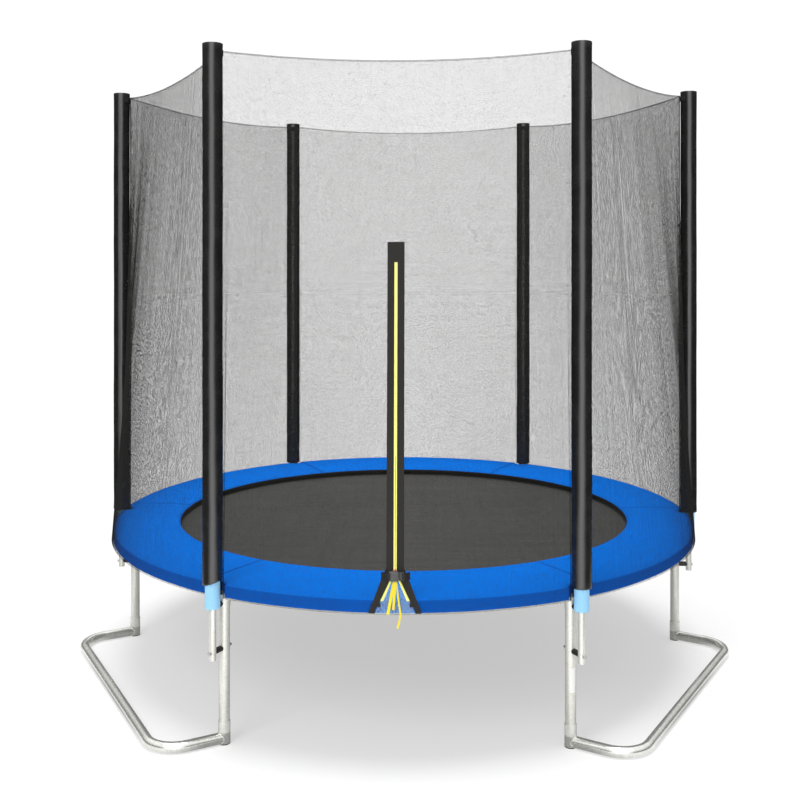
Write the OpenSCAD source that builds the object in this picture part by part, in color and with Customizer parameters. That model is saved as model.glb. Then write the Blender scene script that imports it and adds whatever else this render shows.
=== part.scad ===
// Round garden trampoline with a zipped safety net on six padded poles.
// Millimetres, +Z up, floor at Z = 0, centre of the mat on the Z axis, door facing -Y.

/* [Frame] */
// Radius from the centre to the middle of the top rail and of the legs
rail_r = 1201; // [1199:0.5:1202]
// Height of the middle of the top rail above the floor
rail_z = 523; // [518:1:523]
// Outer diameter of the rail, leg and floor tubes
tube_d = 38; // [36:0.5:38]
// Wall thickness of the steel tubes
tube_wall = 1.5; // [1:0.1:2.5]
// Outer diameter of the sockets and stubs that the tubes fit in
socket_d = 42; // [41.5:0.1:42]

/* [Floor bases] */
// How far a base reaches outwards beyond its two legs
base_reach = 242; // [190:1:250]
// Bend radius of a base's corners, to the middle of the tube
base_bend_r = 110; // [60:1:140]
// Height of the stub that a leg stands in
stub_h = 76; // [50:1:100]

/* [Net poles] */
// Radius from the centre to the net poles
pole_r = 1262; // [1261:0.5:1264]
// Outer diameter of a pole
pole_d = 25.4; // [22:0.1:25.4]
// Height of a pole's lower end
pole_low_z = 307; // [280:1:315]
// Height of a pole's upper end
pole_top_z = 2415; // [1800:1:2415]
// Outer diameter of the foam tube round a pole
foam_d = 52.6; // [46:0.1:52.6]
// Outer diameter of the padded sleeve
sleeve_d = 71; // [66:0.5:71]
// Height of the sleeve's lower end
sleeve_low_z = 566; // [566:1:600]

/* [Spring pad] */
// Inner radius of the pad
pad_in_r = 946; // [900:1:980]
// Outer radius of the pad and its skirt
pad_out_r = 1246; // [1244:0.5:1246]
// Height of the pad's upper face
pad_top_z = 564; // [556:0.5:564]
// Height of the skirt's lower edge
skirt_low_z = 524; // [520:1:535]

/* [Mat] */
// Radius of the jumping mat
mat_r = 1030; // [1025:1:1031]
// Number of springs, a multiple of six
spring_count = 48; // [36:6:48]
// Outer diameter of a spring
spring_d = 20; // [14:0.5:20]

/* [Net and door] */
// Height of the net's upper corners
net_top_z = 2405; // [2100:1:2405]
// Sag of the net's upper edge between two poles
net_sag = 36; // [0:1:60]
// Radius of the net round the pad
net_low_r = 1253; // [1252:0.5:1254]
// Height of the net's lower edge
net_low_z = 522; // [516:1:528]
// Width of the closed door strip, tape to tape
door_w = 58; // [50:1:64]
// Height of the door's slit along the net
door_h = 1053; // [900:1:1100]

/* [Hidden] */
$fn = 64;

poles = 6;
pole_step = 360 / poles;
steel = "gainsboro";
black = [0.12, 0.12, 0.12];
blue = [0.0, 0.35, 0.85];
yellow = [1.0, 0.95, 0.3];

// sockets and legs
socket_bore = tube_d + 0.6;
collar_d = socket_d - 0.6;
collar_bore = tube_d + 0.4;
socket_a = 2.9;                   // half the angle that a T-socket covers
rail_gap_a = 0.1;                 // half the angle between two rails
collar_z = rail_z - 47;
upright_top = rail_z - 22;
cap_t = 3;
plug_h = 5;
upright_low = cap_t + plug_h + 0.5;

// bolts through pole, spacer and leg
bolt_r = 4;
bolt_hole_r = 4.2;
low_bolt_z = 334;
high_bolt_z = 490;
spacer_d = 20;
nut_h = 6;
nut_r = 7.5;
head_h = 5.3;
fit = 0.05;                       // clearance of a saddle round a tube

// pole halves
pole_joint_z = 1380;
swage_h = 60;
swage_d = pole_d - 2 * tube_wall + 0.4;
pole_bore = swage_d + 0.2;
foam_low_z = 487;
foam_bore = pole_d + 0.4;
sleeve_bore = foam_d + 0.6;
sleeve_top_t = 5;
sleeve_top_z = pole_top_z + 8;

// pad, mat and springs
pad_low_z = rail_z + socket_d / 2 + 1;
skirt_t = 3;
pole_notch_r = 43.5;
mat_t = 3;
mat_z = 528.5;
band_w = 34;
band_t = 1.5;
ring_t = 3;
ring_in_r = mat_r + 4.5;
spring_step = 360 / spring_count;
spring_z = mat_z + 5.5;
spring_low_r = mat_r + 32;
spring_high_r = rail_r - 36;
hook_r = 1.6;
slot_w = 6;
slot_h = 8;

// net: it runs round the inner side of each pole and outside the pad's skirt
net_t = 1.6;
wrap_r = 38;                      // radius of the net's lower edge round a pole
corner_r = pole_r - wrap_r;
wrap_a = acos((pole_r - net_low_r) / wrap_r);
low_wrap_a = atan2(wrap_r * sin(wrap_a), net_low_r);
seam_gap = 1;

// door: its own frame starts at the net's lower edge, with Z up the net and -Y outwards
door_top_y = corner_r * cos(30);
door_tilt = atan2(net_low_r - door_top_y, net_top_z - net_sag - net_low_z);
slit_low = 105;
slit_w = 14;
zip_split = 128;
zip_top = zip_split - 23 + door_h;
tape_back = -1.1;
tape_t = 1.5;
coil_w = 4;
coil_gap = 1;
coil_t = 2.1;

function pole_az(i) = pole_step * (i - 1);

module at_pole(i, r) {
    rotate([0, 0, pole_az(i)]) translate([r, 0, 0]) children();
}

module tube(d, bore, z0, z1) {
    difference() {
        translate([0, 0, z0]) cylinder(d = d, h = z1 - z0);
        translate([0, 0, z0 - 1]) cylinder(d = bore, h = z1 - z0 + 2);
    }
}

// A cylinder that lies along X, from x0 to x1
module rod_x(r, x0, x1) {
    translate([x0, 0, 0]) rotate([0, 90, 0]) cylinder(r = r, h = x1 - x0);
}

// Part of a ring of round section about the Z axis, from angle a0 to a1
module bow(d, a0, a1) {
    translate([0, 0, rail_z]) rotate([0, 0, a0]) rotate_extrude(angle = a1 - a0)
        translate([rail_r, 0]) circle(d = d);
}

module bolt_holes() {
    for (z = [low_bolt_z, high_bolt_z])
        translate([0, 0, z]) rod_x(bolt_hole_r, -40, 40);
}

// Places two screws under each T-socket, one in each rail
module at_screws() {
    for (s = [-1, 1])
        rotate([0, 0, s * 2.2]) translate([rail_r, 0, rail_z - socket_d / 2]) children();
}

module screw_hole() {
    translate([0, 0, -2]) cylinder(r = 2.15, h = 9);
}

module top_rail(i) {
    color(steel) rotate([0, 0, pole_az(i)]) difference() {
        bow(tube_d, rail_gap_a, pole_step - rail_gap_a);
        bow(tube_d - 2 * tube_wall, -1, pole_step + 1);
        for (j = [0 : spring_count / poles - 1])
            rotate([0, 0, spring_step * (j + 0.5)])
                translate([rail_r - tube_d / 2 - 1, -slot_w / 2, spring_z - slot_h / 2])
                    cube([12, slot_w, slot_h]);
        at_screws() screw_hole();
        rotate([0, 0, pole_step]) at_screws() screw_hole();
    }
}

module t_socket(i) {
    color("silver") rotate([0, 0, pole_az(i)]) difference() {
        union() {
            bow(socket_d, -socket_a, socket_a);
            translate([rail_r, 0, collar_z]) cylinder(d = collar_d, h = rail_z - collar_z);
        }
        bow(socket_bore, -socket_a - 1, socket_a + 1);
        translate([rail_r, 0, collar_z - 1]) cylinder(d = collar_bore, h = rail_z - collar_z + 1);
        translate([rail_r, 0, 0]) bolt_holes();
        at_screws() screw_hole();
    }
}

module leg_upright(i) {
    color(steel) at_pole(i, rail_r) difference() {
        tube(tube_d, tube_d - 2 * tube_wall, upright_low, upright_top);
        bolt_holes();
    }
}

// The floor tube's centreline shape, solid, at diameter d; arms start at y0
module floor_tube(d, leg_x, y0, bar_y) {
    translate([0, 0, tube_d / 2]) {
        for (s = [-1, 1]) {
            translate([s * leg_x, y0, 0]) rotate([-90, 0, 0])
                cylinder(d = d, h = bar_y - base_bend_r - y0);
            translate([s * (leg_x - base_bend_r), bar_y - base_bend_r, 0])
                rotate([0, 0, s > 0 ? 0 : 90]) rotate_extrude(angle = 90)
                    translate([base_bend_r, 0]) circle(d = d);
        }
        translate([0, bar_y, 0]) rotate([0, 90, 0])
            cylinder(d = d, h = 2 * (leg_x - base_bend_r), center = true);
    }
}

module leg_base(k) {
    leg_x = rail_r * sin(pole_step / 2);
    leg_y = rail_r * cos(pole_step / 2);
    bar_y = leg_y + base_reach;
    color(steel) rotate([0, 0, 2 * pole_step * k]) difference() {
        union() {
            floor_tube(tube_d, leg_x, leg_y, bar_y);
            for (s = [-1, 1])
                translate([s * leg_x, leg_y, cap_t]) cylinder(d = socket_d, h = stub_h);
        }
        floor_tube(tube_d - 2 * tube_wall, leg_x, leg_y + socket_d / 2 + 2, bar_y);
        for (s = [-1, 1]) translate([s * leg_x, leg_y, 0]) {
            translate([0, 0, -1]) cylinder(d = collar_bore, h = stub_h + cap_t + 2);
            translate([0, 0, -1]) cylinder(d = socket_d + 0.4, h = cap_t + 1);
        }
    }
}

module foot_caps() {
    color(black) for (i = [1 : poles]) at_pole(i, rail_r) {
        cylinder(d = socket_d, h = cap_t);
        cylinder(d = collar_bore - 0.2, h = cap_t + plug_h);
    }
}

module pole_lower(i) {
    color("lightgray") at_pole(i, pole_r) difference() {
        tube(pole_d, pole_bore, pole_low_z, pole_joint_z);
        bolt_holes();
    }
}

module upper_poles() {
    color("lightgray") for (i = [1 : poles]) at_pole(i, pole_r) difference() {
        union() {
            translate([0, 0, pole_joint_z + 0.5])
                cylinder(d = pole_d, h = pole_top_z - pole_joint_z - 0.5);
            translate([0, 0, pole_joint_z - swage_h]) cylinder(d = swage_d, h = swage_h + 1);
        }
        translate([0, 0, pole_joint_z - swage_h - 1])
            cylinder(d = swage_d - 2 * tube_wall, h = pole_top_z);
    }
}

module foam_tubes() {
    color("lightskyblue") for (i = [1 : poles]) at_pole(i, pole_r) difference() {
        tube(foam_d, foam_bore, foam_low_z, pole_top_z + 2);
        translate([0, 0, high_bolt_z]) {
            rod_x(spacer_d / 2 + 0.5, -40, 0);
            rod_x(nut_r + 0.5, 0, pole_d / 2 + head_h + 1.5);
        }
    }
}

module pole_sleeve(i) {
    color(black) at_pole(i, pole_r) difference() {
        translate([0, 0, sleeve_low_z]) cylinder(d = sleeve_d, h = sleeve_top_z - sleeve_low_z);
        translate([0, 0, sleeve_low_z - 1])
            cylinder(d = sleeve_bore, h = sleeve_top_z - sleeve_top_t - sleeve_low_z + 1);
    }
}

module spacer(z, leg_d) {
    difference() {
        translate([0, 0, z]) rod_x(spacer_d / 2, rail_r, pole_r);
        translate([rail_r, 0, z - 15]) cylinder(d = leg_d + 2 * fit, h = 30);
        translate([pole_r, 0, z - 15]) cylinder(d = pole_d + 2 * fit, h = 30);
        translate([0, 0, z]) rod_x(bolt_hole_r, rail_r, pole_r);
    }
}

module pole_spacers() {
    color(black) for (i = [1 : poles]) at_pole(i, 0) {
        spacer(low_bolt_z, tube_d);
        spacer(high_bolt_z, collar_d);
    }
}

module pole_bolts() {
    head_r = pole_r + pole_d / 2 + 0.2;
    color("silver") for (i = [1 : poles], z = [low_bolt_z, high_bolt_z])
        at_pole(i, 0) translate([0, 0, z]) {
            rod_x(bolt_r, rail_r - 35, head_r + 1);
            translate([head_r, 0, 0]) rotate([0, 90, 0]) cylinder(r = nut_r, h = head_h, $fn = 6);
        }
}

module nut(z, leg_d) {
    translate([rail_r - leg_d / 2 - nut_h - 0.2, 0, z]) rotate([0, 90, 0]) difference() {
        cylinder(r = nut_r, h = nut_h, $fn = 6);
        translate([0, 0, -1]) cylinder(r = bolt_r + 0.1, h = nut_h + 2);
    }
}

module pole_nuts() {
    color("silver") for (i = [1 : poles]) at_pole(i, 0) {
        nut(low_bolt_z, tube_d);
        nut(high_bolt_z, collar_d);
    }
}

module socket_screws() {
    color("silver") for (i = [1 : poles]) at_pole(i, 0) at_screws() {
        translate([0, 0, -3]) cylinder(r = 4.5, h = 2.9);
        translate([0, 0, -1]) cylinder(r = 2.1, h = 7.5);
    }
}

// One tension spring: a coil body with a straight hook at each end
module spring() {
    difference() {
        translate([0, 0, spring_z]) rod_x(spring_d / 2, spring_low_r, spring_high_r);
        translate([0, 0, spring_z])
            rod_x(spring_d / 2 - 3.2, spring_low_r + 3, spring_high_r - 3);
    }
    translate([0, 0, spring_z]) {
        rod_x(hook_r, ring_in_r + 12, spring_low_r + 1);
        rod_x(hook_r, spring_high_r - 1, rail_r - 11);
    }
    translate([ring_in_r + 12, 0, spring_z - 8]) cylinder(r = hook_r, h = 9.5);
    translate([rail_r - 11, 0, spring_z - 8]) cylinder(r = hook_r, h = 9.5);
}

module at_springs() {
    for (j = [0 : spring_count - 1]) rotate([0, 0, spring_step * (j + 0.5)]) children();
}

module springs() {
    color("silver") at_springs() spring();
}

module v_rings() {
    outer = [[0, -14], [0, 14], [19, 3], [19, -3]];
    inner = [[3, -10], [3, 10], [16, 2], [16, -2]];
    color("silver") at_springs() translate([ring_in_r, 0, mat_z]) linear_extrude(ring_t)
        difference() {
            polygon(outer);
            polygon(inner);
        }
}

module jump_mat() {
    color([0.25, 0.25, 0.25]) translate([0, 0, mat_z]) cylinder(r = mat_r, h = mat_t, $fn = 192);
}

module mat_band() {
    color(black) tube(2 * (mat_r + 3), 2 * (mat_r + 3 - band_w), mat_z + mat_t,
                      mat_z + mat_t + band_t, $fn = 192);
}

module safety_pad() {
    profile = [
        [pad_in_r, pad_low_z], [pad_out_r - skirt_t, pad_low_z], [pad_out_r - skirt_t, skirt_low_z],
        [pad_out_r, skirt_low_z], [pad_out_r, pad_top_z], [pad_in_r, pad_top_z]
    ];
    color(blue) difference() {
        rotate_extrude($fn = 192) polygon(profile);
        for (i = [1 : poles]) at_pole(i, pole_r)
            translate([0, 0, skirt_low_z - 5]) cylinder(r = pole_notch_r, h = 60);
    }
}

// Net panel between pole 1 and pole 2. Each column joins a point of the straight upper edge
// to a point of the lower edge, which wraps round the pole and then follows the pad.
wrap_steps = [0, 18, 36, 54, 70, wrap_a];
wrap_n = len(wrap_steps);
mid_n = 16;
net_cols = 2 * wrap_n + mid_n;
net_rows = 5;

function wrap_point(a, o) = [pole_r - (wrap_r - o) * cos(a), (wrap_r - o) * sin(a)];
function mirror_point(p) = [
    p[0] * cos(pole_step) + p[1] * sin(pole_step), p[0] * sin(pole_step) - p[1] * cos(pole_step)
];
function mid_point(t, o) = let (a = low_wrap_a + (pole_step - 2 * low_wrap_a) * t)
    (net_low_r + o) * [cos(a), sin(a)];
function low_point(c, o) =
    c < wrap_n ? wrap_point(wrap_steps[c], o)
    : c >= wrap_n + mid_n ? mirror_point(wrap_point(wrap_steps[net_cols - 1 - c], o))
    : mid_point((c - wrap_n + 1) / (mid_n + 1), o);
function top_share(c) =
    c < wrap_n ? (seam_gap + 7 * c) / corner_r
    : c >= wrap_n + mid_n ? 1 - (seam_gap + 7 * (net_cols - 1 - c)) / corner_r
    : let (t = (c - wrap_n + 1) / (mid_n + 1), e = (seam_gap + 7 * (wrap_n - 1)) / corner_r)
        e + (1 - 2 * e) * t;
function top_point(c, o) = let (r = corner_r + o / cos(30), u = top_share(c))
    [r, 0] * (1 - u) + r * [cos(pole_step), sin(pole_step)] * u;
function top_z(c) = let (u = top_share(c)) net_top_z - 4 * net_sag * u * (1 - u);
// The seam beside a pole leaves a gap to the next panel
function low_gap(c) = c == 0 ? [0, seam_gap] : c == net_cols - 1
    ? [seam_gap * sin(pole_step), -seam_gap * cos(pole_step)] : [0, 0];
function net_point(c, row, o) = let (v = row / net_rows,
    p = top_point(c, o) * (1 - v) + (low_point(c, o) + low_gap(c)) * v)
    [p[0], p[1], top_z(c) * (1 - v) + net_low_z * v];
function net_index(c, row, side) = (side * net_cols + c) * (net_rows + 1) + row;

module net_surface() {
    points = [for (side = [0, 1], c = [0 : net_cols - 1], row = [0 : net_rows])
        net_point(c, row, (side - 0.5) * net_t)];
    sides = [for (c = [0 : net_cols - 2], row = [0 : net_rows - 1], tri = [0, 1], side = [0, 1])
        let (a = net_index(c, row, side), b = net_index(c + 1, row, side),
             d = net_index(c, row + 1, side), e = net_index(c + 1, row + 1, side),
             f = tri == 0 ? [a, b, e] : [a, e, d])
        side == 1 ? f : [f[2], f[1], f[0]]];
    ends = [for (row = [0 : net_rows - 1], c = [0, net_cols - 1])
        let (a = net_index(c, row, 1), b = net_index(c, row, 0),
             d = net_index(c, row + 1, 1), e = net_index(c, row + 1, 0))
        each (c == 0 ? [[a, d, e], [a, e, b]] : [[e, d, a], [b, e, a]])];
    rims = [for (c = [0 : net_cols - 2], row = [0, net_rows])
        let (a = net_index(c, row, 1), b = net_index(c + 1, row, 1),
             d = net_index(c, row, 0), e = net_index(c + 1, row, 0))
        each (row == 0 ? [[e, b, a], [d, e, a]] : [[a, b, e], [a, e, d]])];
    polyhedron(points, concat(sides, ends, rims));
}

module net_panel(i) {
    front = 5;
    color([0.8, 0.8, 0.8, 0.4]) difference() {
        rotate([0, 0, pole_az(i)]) net_surface();
        if (i == front) in_door()
            translate([-slit_w / 2, -20, slit_low]) cube([slit_w, 40, zip_top - slit_low]);
    }
}

module net_straps() {
    color(black) for (i = [1 : poles]) at_pole(i, pole_r)
        tube(sleeve_d + 2.4, sleeve_d + 2 * fit, net_top_z - 24, net_top_z - 2);
}

module in_door() {
    translate([0, -net_low_r, net_low_z]) rotate([-door_tilt, 0, 0]) children();
}

// An outline drawn in the door's plane, from depth y0 outwards by t
module door_plate(y0, t) {
    in_door() translate([0, y0, 0]) rotate([90, 0, 0]) linear_extrude(t) children();
}

module door_tapes() {
    half = door_w / 2;
    edge = coil_gap + coil_w + 0.5;
    tape = [
        [edge, zip_top], [half, zip_top], [half, 150], [46, 112], [68, 52], [78, 28], [88, 4],
        [67, 4], [63, 22], [47, 22], [49.5, 42], [11, 121], [edge, 132]
    ];
    color(black) door_plate(tape_back, tape_t) union() {
        polygon(tape);
        mirror([1, 0]) polygon(tape);
        translate([-half, zip_top]) square([door_w, 68]);
    }
}

module zip_coils() {
    outer = coil_gap + coil_w;
    coil = [
        [coil_gap, zip_top - 0.5], [outer, zip_top - 0.5], [outer, zip_split],
        [47, 42], [43, 42], [coil_gap, zip_split]
    ];
    color(yellow) door_plate(tape_back, coil_t) union() {
        polygon(coil);
        mirror([1, 0]) polygon(coil);
    }
}

// Two plates joined by a post that runs between the coils, and a loop for the ribbons
module zip_slider() {
    color("dimgray") in_door() {
        translate([-7, -4.8, 111]) cube([14, 1.2, 30]);
        translate([-6, -0.7, 111]) cube([12, 1.2, 25]);
        translate([-0.7, -4, 112]) cube([1.4, 3.8, 6]);
        difference() {
            translate([-2.5, -7.8, 113]) cube([5, 3.2, 14]);
            translate([0, -6.2, 117.5]) rod_x(1, -4, 4);
        }
    }
}

module pull_ribbons() {
    color(yellow) door_plate(-5.4, 0.8) union() {
        polygon([[-7, 112.6], [7, 112.6], [7, 104], [-7, 104]]);
        polygon([[-7, 106], [1, 106], [-18, 0], [-29, 2]]);
        polygon([[-4, 106], [4, 106], [-2, 18], [-10, 18]]);
        polygon([[-1, 106], [7, 106], [22, 0], [12, -44], [4, -42], [13, 0]]);
    }
}

buckle_y = -8.5;                  // the buckle's back face
buckle_t = 9.5;
buckle_z = 124;

module buckle_socket() {
    color([0.2, 0.2, 0.2]) in_door() difference() {
        translate([-20, buckle_y - buckle_t, buckle_z - 16]) cube([32, buckle_t, 32]);
        translate([-13, buckle_y - buckle_t + 1.8, buckle_z - 13]) cube([30, buckle_t - 3.6, 26]);
        translate([-7, buckle_y - buckle_t + 2.5, buckle_z - 20]) cube([10, buckle_t - 5, 40]);
        translate([-18, buckle_y - buckle_t - 1, buckle_z - 12]) cube([2.5, buckle_t + 2, 24]);
    }
}

module buckle_plug() {
    y0 = buckle_y - buckle_t + 2.6;
    t = buckle_t - 5.2;
    color([0.15, 0.15, 0.15]) in_door() difference() {
        union() {
            translate([12.5, y0 - 1, buckle_z - 14]) cube([18, t + 2, 28]);
            for (z = [-12, 8]) translate([-5, y0, buckle_z + z]) cube([18, t, 4]);
            translate([-9, y0, buckle_z - 2]) cube([22, t, 4]);
        }
        translate([25, y0 - 5, buckle_z - 12]) cube([2.5, t + 10, 24]);
    }
}

// Webbing from the net's tape up to the buckle, as an outline seen from above
module webbing(outline) {
    in_door() translate([0, 0, buckle_z - 12]) linear_extrude(24) polygon(outline);
}

module socket_webbing() {
    color(black) webbing([
        [-46, -2.7], [-36.5, -2.7], [-32, -11.5], [-20.2, -11.5],
        [-20.2, -13], [-33, -13], [-37.5, -4.2], [-46, -4.2]
    ]);
}

module plug_webbing() {
    color(black) webbing([
        [30.7, -11.5], [37, -11.5], [41.5, -2.9], [50, -2.9],
        [50, -4.4], [42.5, -4.4], [38, -13], [30.7, -13]
    ]);
}

for (i = [1 : poles]) {
    top_rail(i);
    t_socket(i);
    leg_upright(i);
    pole_lower(i);
    pole_sleeve(i);
    net_panel(i);
}
for (k = [1 : poles / 2])
    leg_base(k);
foot_caps();
upper_poles();
foam_tubes();
pole_spacers();
pole_bolts();
pole_nuts();
socket_screws();
springs();
v_rings();
jump_mat();
mat_band();
safety_pad();
net_straps();
door_tapes();
zip_coils();
zip_slider();
pull_ribbons();
buckle_socket();
buckle_plug();
socket_webbing();
plug_webbing();
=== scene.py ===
# Round garden trampoline with a zipped safety net: the looks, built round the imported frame.
# Metres, +Z up, floor at Z = 0, the door faces -Y.
import math
import random
import bpy
import numpy as np
from mathutils import Matrix, Vector


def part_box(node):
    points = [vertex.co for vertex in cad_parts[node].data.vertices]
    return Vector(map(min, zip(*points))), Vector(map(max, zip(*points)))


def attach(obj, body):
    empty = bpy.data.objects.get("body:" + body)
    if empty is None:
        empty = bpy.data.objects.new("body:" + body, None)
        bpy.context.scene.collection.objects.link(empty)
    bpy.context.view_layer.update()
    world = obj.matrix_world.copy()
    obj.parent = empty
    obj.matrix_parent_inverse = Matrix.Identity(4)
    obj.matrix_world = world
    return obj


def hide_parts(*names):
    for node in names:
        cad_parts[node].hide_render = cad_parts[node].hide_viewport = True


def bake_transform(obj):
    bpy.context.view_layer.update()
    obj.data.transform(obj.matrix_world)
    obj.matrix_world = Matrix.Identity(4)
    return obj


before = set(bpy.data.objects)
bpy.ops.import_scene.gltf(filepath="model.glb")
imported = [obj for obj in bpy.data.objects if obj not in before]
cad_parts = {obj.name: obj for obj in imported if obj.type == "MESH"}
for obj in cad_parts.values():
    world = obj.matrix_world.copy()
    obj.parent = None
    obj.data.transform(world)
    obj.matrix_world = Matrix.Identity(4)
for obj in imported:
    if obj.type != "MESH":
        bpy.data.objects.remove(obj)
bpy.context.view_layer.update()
scene = bpy.context.scene

MM = 0.001
UP = Vector((0, 0, 1))
POLES = 6
POLE_STEP = 360 / POLES
SPRINGS = 48
FRONT = 5                       # the net panel with the door


# ---------------------------------------------------------------- sizes from the frame

def span(node, axis):
    low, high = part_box(node)
    return low[axis], high[axis]


def middle(node, axis):
    return sum(span(node, axis)) / 2


RAIL_R = middle("leg_upright_1", 0)
LEG_R = span("leg_upright_1", 0)[1] - RAIL_R
SOCKET_R = span("foot_caps", 0)[1] - RAIL_R
POLE_R = middle("pole_lower_1", 0)
SLEEVE_R = span("pole_sleeve_1", 0)[1] - middle("pole_sleeve_1", 0)
SLEEVE_LOW, SLEEVE_TOP = span("pole_sleeve_1", 2)
FOAM_R = span("foam_tubes", 0)[1] - POLE_R
FOAM_LOW, FOAM_TOP = span("foam_tubes", 2)
BOLT_Z = middle("pole_spacers", 2) + 78 * MM
PAD_OUT_R = span("safety_pad", 1)[1]
SKIRT_LOW, PAD_TOP = span("safety_pad", 2)
MAT_R = span("jump_mat", 0)[1]
MAT_LOW, MAT_TOP = span("jump_mat", 2)
BAND_R = span("mat_band", 0)[1]
BAND_TOP = span("mat_band", 2)[1]
RING_Z = middle("v_rings", 2)
SPRING_Z = middle("springs", 2)
STRAP_LOW, STRAP_TOP = span("net_straps", 2)

NET_T = 1.6 * MM
NET_LOW_R = span("net_panel_2", 1)[1] - NET_T / 2
NET_LOW, NET_TOP = span("net_panel_1", 2)
NET_SAG = 36 * MM
NET_PITCH = 3.2 * MM            # from thread to thread
THREAD_DEEP = 0.46 * MM         # how far a thread stands through the net
SOLID = 20                      # the cut's third coordinate on the threads' sides
WRAP_R = 38 * MM                # radius of the net's lower edge round a pole
CORNER_R = POLE_R - WRAP_R
SEAM_GAP = 1 * MM
WRAP_TOP = 36 * MM              # width at the top of the columns that wrap round a pole
WRAP_A = math.acos((POLE_R - NET_LOW_R) / WRAP_R)
LOW_WRAP_A = math.atan2(WRAP_R * math.sin(WRAP_A), NET_LOW_R)

PAD_IN_R = 946 * MM
PAD_MEAN_R = 1.1                # where distances along the pad are measured
PAD_LOW = 545 * MM
NOTCH_R = 43.5 * MM             # radius of the pad's notch round a pole
SKIRT_T = 3 * MM
SEAM_OFFSETS = (3.0, 2.0, -1.8, -4.5, -2.5, 3.0)    # the pad's seams, in degrees past each pole

DOOR_RISE = NET_TOP - NET_SAG - NET_LOW
DOOR_TILT = math.atan2(NET_LOW_R - CORNER_R * math.cos(math.radians(30)), DOOR_RISE)
DOOR_LENGTH = DOOR_RISE / math.cos(DOOR_TILT)
DOOR = Matrix.Translation((0, -NET_LOW_R, NET_LOW)) @ Matrix.Rotation(-DOOR_TILT, 4, "X")
OUT = Vector((0, -1, 0))        # outwards in the door's own frame
SLIT_LOW = 105                  # heights on the door in millimetres, up its slope
ZIP_SPLIT = 128
ZIP_TOP = 1158


# ---------------------------------------------------------------- shader helpers

class Value:
    """One output of a shader node. Sums with other outputs or numbers make more nodes."""

    def __init__(self, tree, socket):
        self.tree = tree
        self.socket = socket

    def maths(self, operation, other=0.0):
        return node(self.tree, "Math", {0: self, 1: other}, operation=operation)

    def __add__(self, other):
        return self.maths("ADD", other)

    def __sub__(self, other):
        return self.maths("SUBTRACT", other)

    def __mul__(self, other):
        return self.maths("MULTIPLY", other)

    def spread(self, low, high, to_low=0.0, to_high=1.0, **settings):
        """The value from low..high mapped to to_low..to_high, held at the ends."""
        ends = {"From Min": low, "From Max": high, "To Min": to_low, "To Max": to_high}
        return node(self.tree, "MapRange", {"Value": self, **ends}, **settings)

    def waves(self, pitch):
        """0 to 1 and back, once each pitch."""
        return (self * (2 * math.pi / pitch)).maths("SINE") * 0.5 + 0.5

    def noise(self, scale=1.0, detail=3.0):
        return node(self.tree, "TexNoise", {"Vector": self, "Scale": scale, "Detail": detail})

    def cells(self, scale, kind="Distance"):
        return node(self.tree, "TexVoronoi", {"Vector": self, "Scale": scale}, kind)

    def split(self):
        return [node(self.tree, "SeparateXYZ", {0: self}, axis) for axis in "XYZ"]


def give(tree, socket, value):
    """Feeds another node's output or a plain value into an input."""
    if isinstance(value, Value):
        tree.links.new(value.socket, socket)
    else:
        socket.default_value = value


def node(tree, kind, inputs, output=0, **settings):
    """One output of a new shader node."""
    made = tree.nodes.new("ShaderNode" + kind)
    for name, value in settings.items():
        setattr(made, name, value)
    for key, value in inputs.items():
        give(tree, made.inputs[key], value)
    return Value(tree, made.outputs[output])


def ray_is(tree, kind):
    """1 for rays of one kind, 0 for the others."""
    return node(tree, "LightPath", {}, f"Is {kind} Ray")


def blend_colours(share, first, second):
    first, second = (c if isinstance(c, Value) else (*c, 1) for c in (first, second))
    return node(share.tree, "Mix", {0: share, 6: first, 7: second}, 2, data_type="RGBA")


class Look:
    """A material, with short ways to give its surface a colour, numbers and a bump."""

    def __init__(self, name, colour, roughness, metallic=0.0, specular=0.5):
        self.made = bpy.data.materials.new(name)
        self.made.use_nodes = True
        self.tree = self.made.node_tree
        self.surface = self.tree.nodes["Principled BSDF"]
        self.set("Base Color", (*colour, 1))
        self.set("Roughness", roughness)
        self.set("Metallic", metallic)
        self.set("Specular IOR Level", specular)

    def set(self, name, value):
        give(self.tree, self.surface.inputs[name], value)

    def paint(self, share, first, second):
        self.set("Base Color", blend_colours(share, first, second))

    def roughen(self, value, low, high):
        self.set("Roughness", value.spread(0.3, 0.7, low, high))

    def place(self, *stretch):
        """Object coordinates in metres, scaled by stretch."""
        coords = node(self.tree, "TexCoord", {}, "Object")
        return node(self.tree, "Mapping", {"Vector": coords, "Scale": stretch or (1, 1, 1)})

    def cut(self, *stretch):
        """The cloth's own coordinates in metres, stored on its mesh, scaled by stretch."""
        coords = node(self.tree, "Attribute", {}, "Vector", attribute_name="cut")
        return node(self.tree, "Mapping", {"Vector": coords, "Scale": stretch or (1, 1, 1)})

    def bump(self, *layers):
        """Bump from (height, distance in metres) layers, one on another."""
        inputs = {"Strength": 1.0}
        for height, distance in layers:
            inputs.update({"Height": height, "Distance": distance})
            inputs["Normal"] = node(self.tree, "Bump", inputs)
        self.set("Normal", inputs["Normal"])


# ---------------------------------------------------------------- camera, light and floor

def make_camera():
    data = bpy.data.cameras.new("studio_camera")
    data.lens = 47.5
    data.shift_x = -0.0043
    data.shift_y = -0.1775
    camera = link_object("studio_camera", data)
    camera.location = (0.104, -4.699, 1.687)
    camera.rotation_euler = (math.radians(90), 0, math.radians(1.27))
    scene.camera = camera


def make_light(name, kind, power, **settings):
    data = bpy.data.lights.new(name, kind)
    data.energy = power
    for key, value in settings.items():
        setattr(data, key, value)
    return link_object(name, data)


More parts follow.
